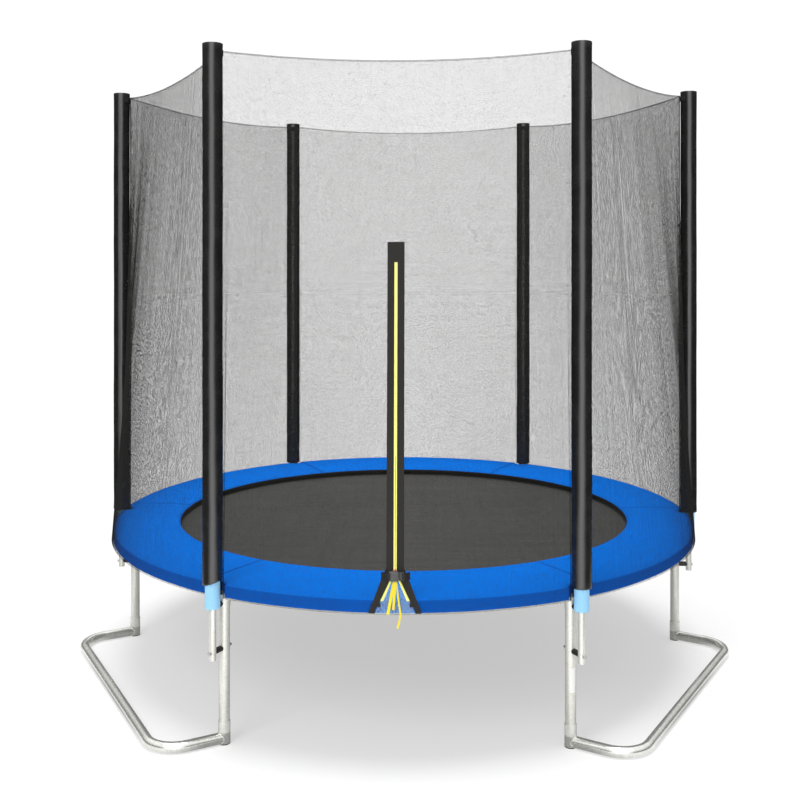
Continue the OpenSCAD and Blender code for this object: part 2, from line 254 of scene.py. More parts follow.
def area_light(name, place, target, width, height, power):
    light = make_light(name, "AREA", power, shape="RECTANGLE", size=width, size_y=height)
    light.location = place
    light.rotation_euler = (Vector(target) - Vector(place)).to_track_quat("-Z", "Y").to_euler()
    light.visible_glossy = False


def bright_front(x, y):
    """Strength of the room in reflections: a bright stretch in front, towards -Y, and dark round it."""
    bearing = x.maths("ARCTAN2", y * -1.0).maths("ABSOLUTE")
    return bearing.spread(0.1, 0.7, 2.6, 0.05, interpolation_type="SMOOTHSTEP")


def make_world():
    """White to look at, dimmer as a light, and a dark room with one bright wall in reflections."""
    world = bpy.data.worlds.new("studio")
    world.use_nodes = True
    tree = world.node_tree
    x, y, z = node(tree, "TexCoord", {}, "Generated").split()
    mirrored = bright_front(x, y) + z.spread(0.22, 0.62, 0.0, 1.1)
    strength = (ray_is(tree, "Glossy") * mirrored + ray_is(tree, "Diffuse") * 0.55
                + ray_is(tree, "Camera") * 1.05)
    plain = tree.nodes["Background"]
    give(tree, plain.inputs["Color"], (1, 1, 1, 1))
    give(tree, plain.inputs["Strength"], strength)
    scene.world = world


def make_floor():
    """A pale floor that fades into the white in the distance, without a horizon. Reflections see a painted
    glow in its place: painted shade under the trampoline, a bright ring round it, a bright stretch towards
    -Y further out and dark elsewhere.
    """
    half = 80
    corners = [(-half, -half, 0), (half, -half, 0), (half, half, 0), (-half, half, 0)]
    look = Look("studio_floor", (0.5, 0.5, 0.5), 0.9, specular=0.0)
    look.set("Emission Color", (1, 1, 1, 1))
    look.set("Emission Strength", 0.47)
    tree = look.tree
    x, y, _ = look.place().split()
    away = (x * x + y * y).maths("POWER", 0.5)
    # painted reflection: what reflections see of the floor, with painted shade under the trampoline and a
    # painted bright ring round it
    painted_shade_and_bright_ring = away.spread(1.28, 1.42, 0.2, 1.15) * away.spread(1.9, 2.8, 1.0, 0.0)
    painted_bright_front = bright_front(x, y) * away.spread(1.7, 2.6)
    # a glow that glossy rays see instead of the floor: a painted reflection
    mirrored = node(tree, "Emission", {"Strength": painted_shade_and_bright_ring + painted_bright_front})
    shown = Value(tree, look.surface.outputs[0])
    mixed = node(tree, "MixShader", {0: ray_is(tree, "Glossy"), 1: shown, 2: mirrored})
    clear = node(tree, "BsdfTransparent", {})
    faded = node(tree, "MixShader", {0: away.spread(12.0, 70.0), 1: mixed, 2: clear})
    give(tree, tree.nodes["Material Output"].inputs["Surface"], faded)
    floor = link_object("floor", mesh_of("floor", corners, [(0, 1, 2, 3)]), look.made)


# ---------------------------------------------------------------- materials

def steel(name, dark, light, metallic, low_rough, high_rough, dents=0.0001, dull_above=None):
    """Hot-dip zinc: faint spangles, run marks and dull patches; it can be duller above a height."""
    look = Look(name, light, low_rough, metallic)
    place = look.place()
    if dull_above:
        height = place.split()[2]
        look.set("Metallic", height.spread(dull_above, dull_above + 6 * MM, metallic, 0.3))
    spangle = node(look.tree, "RGBToBW", {0: place.cells(260.0, "Color")})
    clouds = place.noise(9.0, 6.0)
    runs = look.place(60, 60, 4).noise(detail=4.0)
    share = spangle * 0.3 + clouds * 0.35 + runs * 0.35
    look.paint(share.spread(0.25, 0.75), dark, light)
    look.roughen(clouds, low_rough, high_rough)
    look.bump((place.noise(260.0), dents / 2), (runs, dents))
    return look.made


def moulded(name, colour, roughness):
    """Moulded plastic with a fine spark-eroded grain and scuffs."""
    look = Look(name, colour, roughness, specular=0.4)
    scuffs = look.place().noise(70.0, 8.0)
    worn = tuple(min(1.0, c * 1.8 + 0.01) for c in colour)
    look.paint(scuffs.spread(0.5, 0.8), colour, worn)
    look.roughen(scuffs, roughness - 0.06, roughness + 0.12)
    look.bump((look.place().noise(900.0), 0.00008))
    return look.made


def sleeve_vinyl():
    """Black coated fabric drawn over foam: leather grain, long soft creases, a little dust."""
    look = Look("sleeve_vinyl", (0.010, 0.010, 0.010), 0.25, specular=0.7)
    creases = look.place(26, 26, 3.5).noise()
    dust = look.place().noise(16.0, 7.0)
    look.paint(dust.spread(0.35, 0.8), (0.008, 0.008, 0.008), (0.014, 0.014, 0.0135))
    look.roughen(dust, 0.22, 0.3)
    look.bump((creases, 0.0006), (look.place().cells(520.0), 0.00008))
    return look.made


def blue_foam():
    """Light blue closed-cell foam with open pores on the skin; the pores are painted darker as painted
    shade, and the tone differs at random.
    """
    look = Look("blue_foam", (0.30, 0.68, 1.0), 0.85, specular=0.15)
    place = look.place()
    pores_and_pore_shade = place.cells(420.0).spread(0.05, 0.45)
    pore_shade_and_tone = pores_and_pore_shade * place.noise(30.0).spread(0.2, 0.7, 0.75, 1.0)
    # painted shade: darker in the pores, times tone that differs at random
    look.paint(pore_shade_and_tone, (0.24, 0.50, 0.78), (0.35, 0.68, 0.95))
    look.bump((pores_and_pore_shade, 0.0005))
    return look.made


def tarpaulin(name, light, dark, specular):
    """Coated woven sheet: a fine square weave under a smooth skin, with soft rumples.
    The third cut coordinate is 1 in the fold of a seam, which is painted darker as painted shade."""
    look = Look(name, light, 0.5, specular=specular)
    along, across, seam = look.cut().split()
    weave = along.waves(0.0024) * across.waves(0.0024)
    rumples = look.cut(5, 9, 1).noise()
    rubbed = look.cut(30, 30, 1).noise(detail=7.0)
    share = weave * 0.25 + rumples.spread(0.25, 0.75, 0.1, 0.75)
    # painted shade: the fold of a seam is painted a darker colour
    seam_fold_painted_shade = tuple(c * 0.45 for c in dark)
    look.paint(seam, blend_colours(share, dark, light), seam_fold_painted_shade)
    look.roughen(rubbed, 0.42, 0.6)
    look.bump((rumples, 0.0022), (weave, 0.00012))
    return look.made


def mat_weave():
    """Jumping mat of flat black tapes, woven square, with faint patches of wear."""
    look = Look("mat_weave", (0.065, 0.065, 0.062), 0.62, specular=0.2)
    x, y, _ = look.place().split()
    over = (x.waves(0.003) - y.waves(0.003)).maths("ABSOLUTE")
    streaks = look.place(3.5, 70, 1).noise(detail=5.0)
    bands = look.place(55, 2.5, 1).noise(detail=4.0)
    wear = look.place().noise(2.2, 6.0)
    share = over * 0.2 + streaks * 0.45 + bands * 0.25 + wear * 0.35
    look.paint(share.spread(0.35, 0.95), (0.040, 0.040, 0.038), (0.092, 0.092, 0.089))
    look.roughen(wear, 0.52, 0.72)
    look.bump((streaks, 0.0015), (over, 0.0001))
    return look.made


def woven(name, dark, light, pitch, roughness=0.8):
    """Webbing or tape: twill ribs across the strap."""
    look = Look(name, light, roughness, specular=0.25)
    across, along, _ = look.cut().split()
    slope = (across.waves(pitch * 6) - 0.5).maths("ABSOLUTE")
    ribs = (slope * (pitch * 2) + along).waves(pitch)
    fuzz = look.cut(900, 900, 900).noise(detail=2.0)
    share = ribs * 0.6 + across.waves(pitch * 0.8) * 0.25 + fuzz * 0.25
    look.paint(share, dark, light)
    look.bump((share, 0.0004))
    return look.made


def net_mesh(name, colour, thread, pitch):
    """Knitted net: thin threads with open holes between them, drawn together in faint rows.
    The third cut coordinate is 1 on the cloth and large on the threads' sides, which are solid."""
    streak = 0.035
    look = Look(name, colour, 0.75, specular=0.0)
    u, v, solid = look.cut().split()
    streaks = look.cut(30, 1.6, 0).noise(detail=4.0).spread(0.3, 0.7, 1 - streak, 1 + streak)
    weaves = look.cut(4, 90, 0).noise().spread(0.3, 0.7, 1 - 1.5 * streak, 1 + 1.5 * streak)
    half = streaks * weaves * solid * (thread / pitch / 2)
    wobble = look.cut(170, 170, 0).noise(detail=2.0) * (2.4 * pitch)
    off_u, off_v = ((((value + wobble) * (1 / pitch)).maths("FRACT") - 0.5).maths("ABSOLUTE")
                    for value in (u, v))
    look.set("Alpha", off_u.maths("MINIMUM", off_v).maths("LESS_THAN", half))
    paler = tuple(c * 1.5 for c in colour)
    look.paint(look.cut(400, 400, 0).noise(detail=2.0), colour, paler)
    return look.made


def glossy_yellow(name, dark, light, rib):
    look = Look(name, light, 0.45, specular=0.3)
    place = look.place()
    ribs = place.split()[2].waves(rib)
    look.paint(ribs * 0.5 + place.noise(300.0) * 0.7, dark, light)
    look.bump((ribs, 0.0001))
    return look.made


def paper():
    look = Look("label_paper", (0.86, 0.86, 0.84), 0.6, specular=0.3)
    fibres = look.place().noise(500.0, 5.0)
    look.paint(fibres, (0.78, 0.78, 0.76), (0.92, 0.92, 0.9))
    look.bump((fibres, 0.00005))
    return look.made


# ---------------------------------------------------------------- mesh helpers

def mesh_of(name, points, faces, cut=None, sharp=38):
    mesh = bpy.data.meshes.new(name)
    mesh.from_pydata([tuple(p) for p in points], [], [tuple(f) for f in faces])
    mesh.update()
    mesh.shade_smooth()
    mesh.set_sharp_from_angle(angle=math.radians(sharp))
    if cut is not None:
        stored = mesh.attributes.new("cut", "FLOAT_VECTOR", "POINT")
        stored.data.foreach_set("vector", np.asarray(cut, np.float32).ravel())
    return mesh


def link_object(name, data, *finishes):
    made = bpy.data.objects.new(name, data)
    for finish in finishes:
        data.materials.append(finish)
    scene.collection.objects.link(made)
    return made


class Shape:
    """Points and faces of one piece, which grow part by part."""

    def __init__(self):
        self.points = []
        self.faces = []
        self.cut = []
        self.inks = []          # each face's number among the piece's finishes

    def add(self, points, faces, place=Matrix(), cut=None):
        start = len(self.points)
        points = [place @ Vector(p) for p in points]
        self.points += points
        self.faces += [tuple(start + i for i in f) for f in faces]
        self.cut += list(cut) if cut is not None else [(p.x, p.z, p.y) for p in points]
        self.inks += [0] * len(faces)

    def loft(self, rings, place=Matrix(), cut=None, wrap=False):
        """A skin over rings of points, each joined to the next, with caps or closed on itself."""
        count = len(rings[0])
        points = [p for ring in rings for p in ring]
        steps = len(rings) if wrap else len(rings) - 1
        faces = []
        for i in range(steps):
            low, high = i * count, (i + 1) % len(rings) * count
            for j in range(count):
                k = (j + 1) % count
                faces.append((low + j, low + k, high + k, high + j))
        if not wrap:
            faces.append(tuple(reversed(range(count))))
            faces.append(tuple(range((len(rings) - 1) * count, len(rings) * count)))
        self.add(points, faces, place, cut)

    def piece(self, name, body, slot, finishes, stands_for=(), sharp=38):
        """The finished object, riding on its body."""
        made = link_object(name, mesh_of(name, self.points, self.faces, self.cut, sharp), *finishes)
        made.data.polygons.foreach_set("material_index", self.inks)
        if body:
            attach(made, body)
        if stands_for:
            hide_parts(*stands_for)
        return made


def turn(degrees):
    return Matrix.Rotation(math.radians(degrees), 4, "Z")


def outward(degrees):
    """Unit vector away from the axis at an azimuth."""
    return turn(degrees) @ Vector((1, 0, 0))


def pole_azimuth(i):
    return POLE_STEP * (i - 1)


def at_pole(i, radius):
    return turn(pole_azimuth(i)) @ Matrix.Translation((radius, 0, 0))


def circle(radius, steps, z=0.0):
    angles = (2 * math.pi * i / steps for i in range(steps))
    return [Vector((radius * math.cos(a), radius * math.sin(a), z)) for a in angles]


def sweep(path, radius, sides, closed=False):
    """Rings of a round tube along a path; radius is a number or a function of the step."""
    count = len(path)
    rings = []
    side = None
    for i, here in enumerate(path):
        before = path[i - 1] if i or closed else here
        after = path[(i + 1) % count] if i < count - 1 or closed else here
        along = (after - before).normalized()
        if side is None:
            side = along.orthogonal().normalized()
        side = (side - along * side.dot(along)).normalized()
        other = along.cross(side)
        r = radius(i) if callable(radius) else radius
        rings.append([here + r * (math.cos(a) * side + math.sin(a) * other)
                      for a in (2 * math.pi * j / sides for j in range(sides))])
    return rings


def smooth_path(points, per_step=6):
    """A Catmull-Rom curve through the points."""
    points = [Vector(p) for p in points]
    padded_points = [2 * points[0] - points[1], *points, 2 * points[-1] - points[-2]]
    made = []
    for a, b, c, d in zip(padded_points, padded_points[1:], padded_points[2:], padded_points[3:]):
        for k in range(per_step):
            t = k / per_step
            made.append(0.5 * (2 * b + (c - a) * t + (2 * a - 5 * b + 4 * c - d) * t ** 2
                               + (3 * b - 3 * c + d - a) * t ** 3))
    return made + [points[-1]]


def length_of(path):
    return sum((b - a).length for a, b in zip(path, path[1:]))


def rounded(width, height, corner):
    """A rectangle with round corners, as (x, y) points about its middle."""
    steps = 4
    made = []
    for sx, sy, start in ((1, 1, 0), (-1, 1, 90), (-1, -1, 180), (1, -1, 270)):
        cx, cy = sx * (width / 2 - corner), sy * (height / 2 - corner)
        for k in range(steps + 1):
            a = math.radians(start + 90 * k / steps)
            made.append((cx + corner * math.cos(a), cy + corner * math.sin(a)))
    return made


def soft_block(shape, low, high, corner, edge, dome=0.0):
    """A moulded block on the door from corner low to corner high, round at its corners and edges.
    Its front, at the lower Y, can bulge by dome. Millimetres."""
    low, high = Vector(low) * MM, Vector(high) * MM
    centre = (low + high) / 2
    size = high - low
    corner, edge, dome = corner * MM, edge * MM, dome * MM
    levels = [(0, edge), (0.3 * edge, 0.3 * edge), (edge, 0)]
    steps = [(d, inset) for d, inset in levels] + [(size.y - d, inset) for d, inset in reversed(levels)]
    rings = []
    for depth, inset in steps:
        outline = rounded(size.x - 2 * inset, size.z - 2 * inset, max(corner - inset, 0.2 * MM))
        rings.append([Vector((centre.x + x, low.y + depth, centre.z - z)) for x, z in outline])
    if dome:
        crown = []
        for k in (0.15, 0.5, 0.8):
            height = low.y - dome * (1 - k ** 2)
            crown.append([Vector((centre.x + (p.x - centre.x) * k, height, centre.z + (p.z - centre.z) * k))
                          for p in rings[0]])
        rings = crown + rings
    shape.loft(rings, DOOR)


def cloth_strip(shape, rows, thickness, across=6, place=Matrix(), edge=0.4):
    """A strip of cloth from rows of (left point, right point, outward direction). Its two sides are
    thinner, by edge."""
    rings, cut = [], []
    shares = [j / across for j in range(across + 1)]
    rows = [(Vector(left), Vector(right), Vector(out).normalized()) for left, right, out in rows]
    centres = [(left + right) / 2 for left, right, _ in rows]
    for k, (left, right, out) in enumerate(rows):
        lifts = [out * thickness / 2 * (1.0 if 0 < t < 1 else edge) for t in shares]
        front = [left.lerp(right, t) + lift for t, lift in zip(shares, lifts)]
        back = [left.lerp(right, t) - lift for t, lift in zip(shares, lifts)]
        rings.append(front + back[::-1])
        spots = [((right - left).length * t, length_of(centres[:k + 1]), 1) for t in shares]
        cut += spots + spots[::-1]
    shape.loft(rings, place, cut=cut)


def stitches(shape, path, out, height=0.5 * MM):
    """A row of thread stitches along a path of points on a surface that faces out."""
    length, gap, half_width = 4.2 * MM, 2.4 * MM, 0.45 * MM
    travelled, target = 0.0, 0.0
    for a, b in zip(path, path[1:]):
        step = (b - a).length
        along = (b - a).normalized()
        side = along.cross(out).normalized() * half_width
        while target <= travelled + step:
            start = a + along * (target - travelled)
            end = start + along * length
            lift = out * height
            low = [start - side, start + side, end + side, end - side]
            top = [start.lerp(end, t) + side * k + lift
                   for t, k in ((0.25, -0.7), (0.25, 0.7), (0.75, 0.7), (0.75, -0.7))]
            faces = [(3, 2, 1, 0), (4, 5, 6, 7), (0, 1, 5, 4), (1, 2, 6, 5), (2, 3, 7, 6), (3, 0, 4, 7)]
            shape.add(low + top, faces)
            target += length + gap
        travelled += step


# ---------------------------------------------------------------- steel frame

def finish_cad_nodes(finishes):
    """Gives the carried-over CAD nodes their finishes, by the start of their names."""
    for name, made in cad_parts.items():
        if made.hide_render:
            continue
        for start, finish in finishes.items():
            if name.startswith(start):
                made.data.materials.clear()
                made.data.materials.append(finish)


def make_weld_beads(finish):
    """Uneven weld beads where each base arm meets its stub."""
    shape = Shape()
    rng = random.Random(4)
    steps = 44
    bead_r = LEG_R + 0.8 * MM
    above_floor = 1.8 * MM
    leg = outward(90 - POLE_STEP / 2) * RAIL_R
    for k in range(POLES // 2):
        for s in (-1, 1):
            path = []
            for i in range(steps):
                a = 2 * math.pi * i / steps
                x = bead_r * math.cos(a)
                z = max(LEG_R + bead_r * math.sin(a), above_floor)
                y = math.sqrt(max(SOCKET_R ** 2 - x ** 2, 0)) + 0.6 * MM
                path.append(Vector((s * leg.x + x, leg.y + y, z)))
            sizes = [rng.uniform(1.2, 1.9) * MM for _ in range(steps)]
            shape.loft(sweep(path, lambda i: sizes[i], 8, closed=True),
                       turn(2 * POLE_STEP * (k + 1)), wrap=True)
    shape.piece("weld_beads", "frame", "galvanised_steel", [finish])


def make_leg_label(finish):
    """A blank paper label wrapped on the front of one leg."""
    shape = Shape()
    low, high = 192 * MM, 276 * MM
    radius = LEG_R + 0.15 * MM
    facing, half = 270 + 12, 32
    steps = 12
    rings = []
    for k in range(steps + 1):
        z = UP * (low + (high - low) * k / steps)
        row = [outward(facing + half * (2 * j / steps - 1)) * radius for j in range(steps + 1)]
        rings.append([p + z for p in row] + [p * 0.997 + z for p in reversed(row)])
    shape.loft(rings, Matrix.Translation(outward(pole_azimuth(6)) * RAIL_R))
    shape.piece("leg_label", "frame", None, [finish])


# ---------------------------------------------------------------- padded poles

def make_sleeve(i, finish):
    """A black vinyl sleeve over the foam: round shoulders, a side seam and soft unevenness.
    The one left of the door is cut at a slant at its lower end."""
    radius = SLEEVE_R
    slant = 20 * MM if i == FRONT else 0.0
    rng = random.Random(20 + i)
    swells = [(0.5, 7, 1), (0.35, 19, -2), (0.2, 47, 3)]    # size, turns per metre and round the pole
    phases = [rng.uniform(0, 2 * math.pi) for _ in swells]
    steps = 56
    shoulder = 3 * MM
    height = SLEEVE_TOP - SLEEVE_LOW
    profile = [(FOAM_R + 0.3 * MM, 60 * MM), (FOAM_R + 0.3 * MM, 1.5 * MM), (radius - 2.5 * MM, 0),
               (radius - 0.8 * MM, 1 * MM), (radius - 0.2 * MM, 3 * MM)]
    profile += [(radius, 8 * MM + (height - 8 * MM - shoulder) * k / 64) for k in range(65)]
    for a in (math.radians(degrees) for degrees in (25, 50, 72, 90)):
        profile.append((radius - shoulder * (1 - math.cos(a)), height - shoulder * (1 - math.sin(a))))
    profile += [(radius * 0.55, height - 0.4 * MM), (radius * 0.12, height - 0.9 * MM)]
    rings = []
    for r, z in profile:
        ring = []
        for j in range(steps):
            a = 2 * math.pi * j / steps
            swell = sum(size * math.sin(many * z + phase + around * a)
                        for (size, many, around), phase in zip(swells, phases))
            seam = 0.9 * math.exp(-(((a - 1.6) / 0.06) ** 2))
            edge = min(1.0, z / (30 * MM), (height - z) / (30 * MM)) if r > FOAM_R + 1 * MM else 0.0
            here = r - (0.75 - 0.7 * swell + seam) * MM * max(edge, 0.0)
            lift = slant * (0.5 + 0.5 * math.cos(a - math.radians(-pole_azimuth(i))))
            lift *= max(0.0, 1 - z / (90 * MM))
            ring.append(Vector((here * math.cos(a), here * math.sin(a), SLEEVE_LOW + z + lift)))
        rings.append(ring)
    shape = Shape()
    shape.loft(rings, at_pole(i, POLE_R))
    made = shape.piece(f"sleeve_{i}", "frame", "black_sleeve_vinyl", [finish],
                       [f"pole_sleeve_{i}"], sharp=60)


def make_foam(finish):
    """Foam tubes that show below the sleeves, notched over the upper bolt and its spacer."""
    shape = Shape()
    steps = 64
    bore, skin = 13 * MM, FOAM_R - 0.3 * MM
    top = FOAM_TOP - 3 * MM
    for i in range(1, POLES + 1):
        profile = [(bore, 0), (FOAM_R - 1.2 * MM, 0), (FOAM_R - 0.2 * MM, 1.2 * MM)]
        profile += [(skin + 0.25 * MM * math.sin(170 * z + i), z) for z in (0.012, 0.03, 0.055, 0.08, 0.12)]
        rings = [foam_ring(r, z, steps) for r, z in profile]
        rings += [circle(skin, steps, top), circle(bore, steps, top)]
        shape.loft(rings, at_pole(i, POLE_R), wrap=True)
    made = shape.piece("foam_sleeves", "frame", "blue_foam", [finish], ["foam_tubes"])


def foam_ring(radius, above, steps):
    """One ring of the foam near its lower end, raised over the spacer and the bolt's head."""
    made = []
    for p in circle(radius, steps):
        half = (10.5 if p.x < 0 else 8.0) * MM
        covered = abs(p.y) < half and (p.x < 0 or radius < 20 * MM)
        arch = BOLT_Z + math.sqrt(half ** 2 - p.y ** 2) if covered else FOAM_LOW
        made.append(Vector((p.x, p.y, max(FOAM_LOW, arch) + above)))
    return made


def make_net_straps(finish):
    """Webbing straps that hold the net's corners, sewn round the inner side of each sleeve."""
    radius = SLEEVE_R + 0.6 * MM
    half = math.radians(55)
    outs = [outward(180 + math.degrees(half) * (k / 12 - 1)) for k in range(25)]
    rows = [(out * radius + UP * STRAP_LOW, out * radius + UP * STRAP_TOP, out) for out in outs]
    shape = Shape()
    for i in range(1, POLES + 1):
        cloth_strip(shape, rows, 0.9 * MM, across=4, place=at_pole(i, POLE_R))
    made = shape.piece("net_strap_loops", "frame", "black_webbing", [finish], ["net_straps"])
    2 * half * radius * POLES


# ---------------------------------------------------------------- mat and springs

def make_mat(finish, band_finish, thread):
    """The jumping mat, stretched flat but for a few millimetres of sag, and its sewn edge band."""
    sag = 5 * MM
    steps = 144

    def height(r):
        return -sag * (1 - (r / MAT_R) ** 2)

    shape = Shape()
    radii = [MAT_R * k / 26 for k in range(27)]
    rings = [circle(r, steps, MAT_TOP + height(r)) for r in radii[1:]]
    rings += [circle(r, steps, MAT_LOW + height(r)) for r in reversed(radii[1:])]
    shape.loft(rings)
    mat = shape.piece("mat_cloth", "mat", "mat_weave", [finish], ["jump_mat"])

    band = Shape()
    inner, outer = BAND_R - 34 * MM, BAND_R - 0.5 * MM
    z = UP * ((MAT_TOP + BAND_TOP) / 2 + 0.1 * MM)
    outs = [outward(360 * k / steps) for k in range(steps + 1)]
    rows = [(out * inner + z, out * outer + z, UP) for out in outs]
    cloth_strip(band, rows, 1.3 * MM, across=4)
    edge_band = band.piece("mat_edge_band", "mat", "black_webbing", [band_finish], ["mat_band"])

    sewing = Shape()
    for r in (inner + 4 * MM, (inner + outer) / 2, outer - 6 * MM):
        path = circle(r, 240, BAND_TOP + 0.05 * MM)
        stitches(sewing, path + path[:1], UP)
    sewing.piece("mat_stitching", "mat", "black_webbing", [thread])


def spring_place(j):
    return turn(360 / SPRINGS * (j + 0.5))


def make_v_rings(finish, tab_finish):
    """Bent-wire triangles that the springs hook into, each sewn to the mat by a webbing tab."""
    wires, tabs = Shape(), Shape()
    wire, tab_half, loop_r = 1.5 * MM, 9 * MM, 2.6 * MM
    back, tip = MAT_R + 6 * MM, MAT_R + 22 * MM
    corners = [Vector((x, y * MM, RING_Z)) for x, y in ((back, -11), (back, 11), (tip, 2.4), (tip, -2.4))]
    path = []
    for a, b in zip(corners, corners[1:] + corners[:1]):
        path += [a.lerp(b, t) for t in (0.12, 0.5, 0.88)]
    rings = sweep(path, wire, 8, closed=True)
    line = []
    for degrees in range(-90, 91, 20):
        out = Vector((math.cos(math.radians(degrees)), 0, math.sin(math.radians(degrees))))
        line.append((out * loop_r + Vector((back, 0, RING_Z)), out))
    line += [(Vector((x, 0, BAND_TOP + 0.9 * MM)), UP) for x in (back - 8 * MM, back - 18 * MM)]
    half = Vector((0, tab_half, 0))
    rows = [(here - half, here + half, out) for here, out in line]
    for j in range(SPRINGS):
        wires.loft(rings, spring_place(j), wrap=True)
        cloth_strip(tabs, rows, 1 * MM, across=3, place=spring_place(j))
    wires.piece("v_ring_wires", "mat", "zinc_hardware", [finish], ["v_rings"])
    loops = tabs.piece("ring_tabs", "mat", "black_webbing", [tab_finish])


def spring_path():
    """Centre line of one spring: hook, coil body, hook."""
    mat_end, rail_end = MAT_R + 16.5 * MM, RAIL_R - 11 * MM
    coil_low, coil_high = MAT_R + 34 * MM, RAIL_R - 38 * MM
    coil_r = 8.2 * MM
    turns, per_turn = 30, 10
    hook = (8 * MM, 5 * MM, 2 * MM)
    line = [(mat_end, 0, -z) for z in hook] + [(mat_end + 1.5 * MM, 0, 0), (coil_low - 6 * MM, 0, 0)]
    total = turns * per_turn
    for k in range(total + 1):
        a = 2 * math.pi * k / per_turn
        grow = min(1.0, k / 6, (total - k) / 6)
        x = coil_low + (coil_high - coil_low) * k / total
        line.append((x, coil_r * grow * math.sin(a), coil_r * grow * math.cos(a)))
    line += [(coil_high + 6 * MM, 0, 0), (rail_end - 1.5 * MM, 0, 0)]
    line += [(rail_end, 0, -z) for z in reversed(hook)]
    return [Vector(p) + UP * SPRING_Z for p in line]


def make_springs(finish):
    """Tension springs that stretch from the rail to the mat."""
    rings = sweep(spring_path(), 1.5 * MM, 6)
    for j in range(SPRINGS):
        shape = Shape()
        shape.loft(rings, spring_place(j))
        stands_for = ["springs"] if j == 0 else ()
        made = shape.piece(f"spring_{j + 1}", None, "zinc_hardware", [finish], stands_for)
        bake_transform(made)


# ---------------------------------------------------------------- spring pad

def pad_outer(degrees):
    """The pad's outer radius at an azimuth, drawn in round each pole."""
    off = math.radians((degrees + POLE_STEP / 2) % POLE_STEP - POLE_STEP / 2)
    across = POLE_R * math.sin(off)
    if abs(across) >= NOTCH_R:
        return PAD_OUT_R
    return min(PAD_OUT_R, POLE_R * math.cos(off) - math.sqrt(NOTCH_R ** 2 - across ** 2))


def pad_edges(degrees):
    """The pad's inner and outer radius inside its skirt. It is widest at the door, then at the back."""
    s = math.sin(math.radians(degrees))
    inner = PAD_IN_R + (29 - (68 if s < 0 else 40) * s ** 2) * MM
    return inner, pad_outer(degrees) - SKIRT_T - 0.3 * MM


def pad_point(degrees, share, lift=0.0):
    """A point of the pad's upper face, share of the way from the inner to the outer edge."""
    inner, outer = pad_edges(degrees)
    return turn(degrees) @ Vector((inner + (outer - inner) * share, 0, pad_top(degrees, share) + lift))


def pad_azimuths():
    """Azimuths for the pad's sections, close together at notches and seams."""
    made = list(np.arange(0, 360, 1.5))
    for i in range(POLES):
        for k in range(-14, 15):
            across = NOTCH_R * math.sin(math.radians(k * 5))
            made.append(POLE_STEP * i + math.degrees(math.asin(across / POLE_R)))
        seam = POLE_STEP * i + SEAM_OFFSETS[i]
        made += [seam + math.degrees(k * MM / PAD_MEAN_R) for k in (-7, -4, -2, 0, 2, 4, 7)]
    return sorted({round(degrees % 360, 4) for degrees in made})


def seam_dip(degrees):
    """How far a segment seam draws the pad's top down at an azimuth."""
    dip = 0.0
    for i in range(POLES):
        off = abs((degrees - POLE_STEP * i - SEAM_OFFSETS[i] + 180) % 360 - 180)
        dip = max(dip, 4 * MM * math.exp(-((math.radians(off) * PAD_MEAN_R / (3.5 * MM)) ** 2)))
    return dip


def pad_top(degrees, share):
    """Height of the pad's upper face: crowned across, a little uneven along."""
    a = math.radians(degrees)
    crown = 2.5 * MM * math.sin(math.pi * min(max(share, 0), 1)) ** 0.7
    uneven = 0.7 * MM * (math.sin(9 * a + 1) + math.sin(17 * a + 2.5 * share)) * math.sin(math.pi * share)
    slope = 4 * MM * max(0.0, 1 - share / 0.12) ** 2
    return PAD_TOP + 2.5 * MM + crown + uneven - slope - seam_dip(degrees)


def make_pad(top_finish, under_finish):
    """Ring of padded segments: blue above, black underneath and along its inner edge."""
    shape = Shape()
    rings, cut = [], []
    shares = [0.0, 0.012, 0.03, 0.07, 0.15, 0.3, 0.45, 0.6, 0.75, 0.87, 0.95, 0.985, 1.0]
    for degrees in pad_azimuths():
        out = outward(degrees)
        inner, outer = pad_edges(degrees)
        section = []
        for share in shares:
            drop = 4.5 * MM * max(0.0, 1 - share / 0.012) + 2.5 * MM * max(0.0, 1 - (1 - share) / 0.015)
            section.append((inner + (outer - inner) * share, pad_top(degrees, share) - drop))
        section += [(outer, PAD_LOW + 3 * MM), (outer - 4 * MM, PAD_LOW)]
        section += [(inner + (outer - inner) * k, PAD_LOW) for k in (0.8, 0.5, 0.2)]
        section += [(inner + 4 * MM, PAD_LOW), (inner - 0.5 * MM, PAD_LOW + 3 * MM),
                    (inner - 1.5 * MM, PAD_LOW + 8 * MM)]
        rings.append([out * r + UP * z for r, z in section])
        # 1 where a seam draws the pad's top down; the finish paints painted shade there
        fold = 1.0 if seam_dip(degrees) > 2.2 * MM else 0.0
        cut += [(math.radians(degrees) * PAD_MEAN_R, r, fold) for r, _ in section]
    shape.loft(rings, cut=cut, wrap=True)
    count = len(rings[0])
    top_faces = len(shares) - 1
    shape.inks = [0 if k % count < top_faces else 1 for k in range(len(shape.faces))]
    made = shape.piece("pad_ring", "frame", "blue_pad_vinyl", [top_finish, under_finish],
                       ["safety_pad"], sharp=50)


